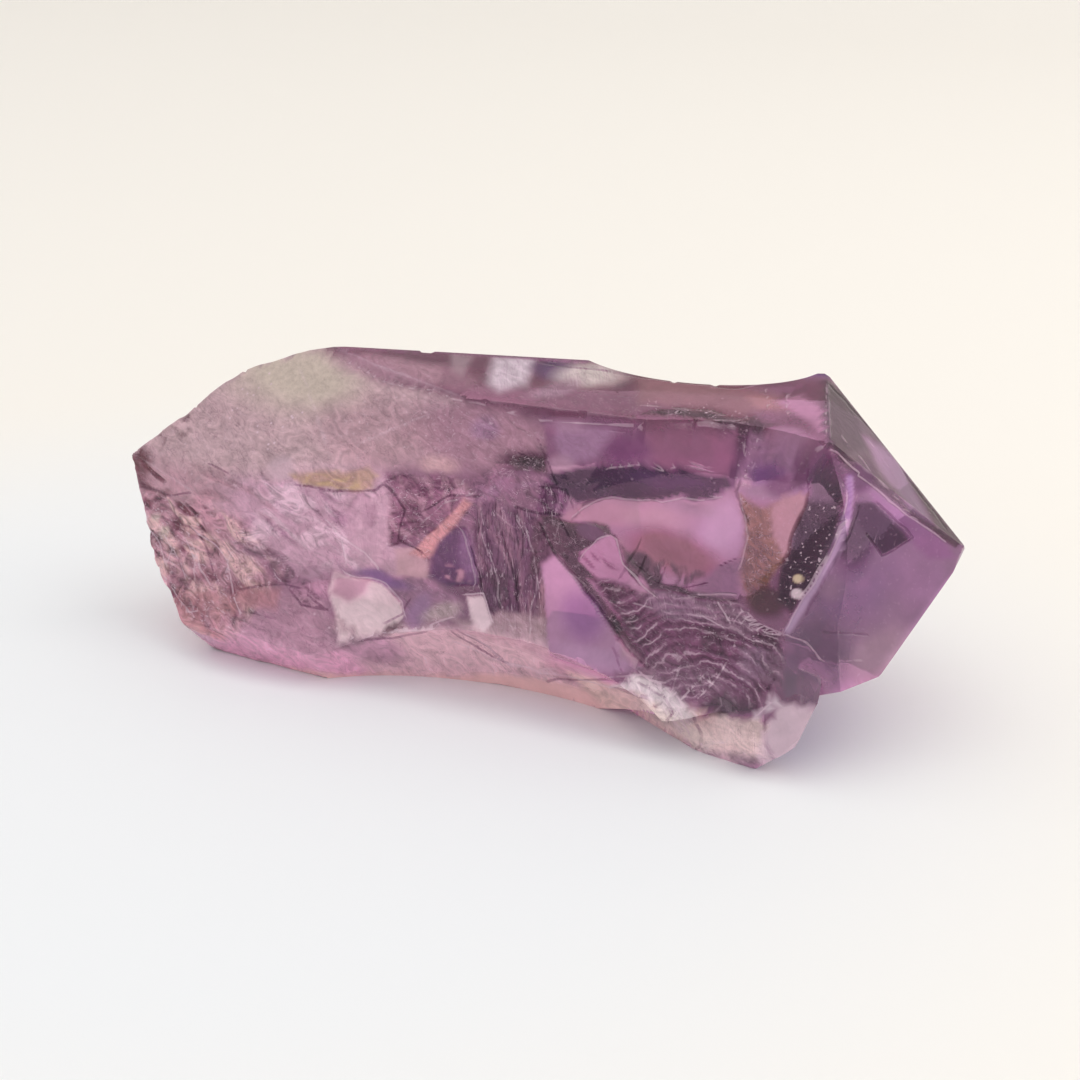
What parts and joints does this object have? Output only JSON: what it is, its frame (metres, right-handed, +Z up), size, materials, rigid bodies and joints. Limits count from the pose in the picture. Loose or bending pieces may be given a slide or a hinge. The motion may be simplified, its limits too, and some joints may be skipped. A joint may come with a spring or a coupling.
{
  "type": "amethyst point",
  "caption": "Broken natural amethyst crystal lying on its side, with a flat-faced pointed tip, shell-shaped scars and a rough broken end.",
  "frame": {"origin": "on the table, under the middle of the crystal's box", "axes": "+X along the crystal towards its pointed tip, +Z up, and the scarred front looks towards -Y"},
  "size_m": [0.0815, 0.0314, 0.0282],
  "materials": {
    "amethyst": "clear to cloudy violet quartz, glossy on flat faces and scars, frosted on old breaks"
  },
  "bodies": {
    "root": {"amethyst_point": "amethyst"}
  },
  "joints": []
}
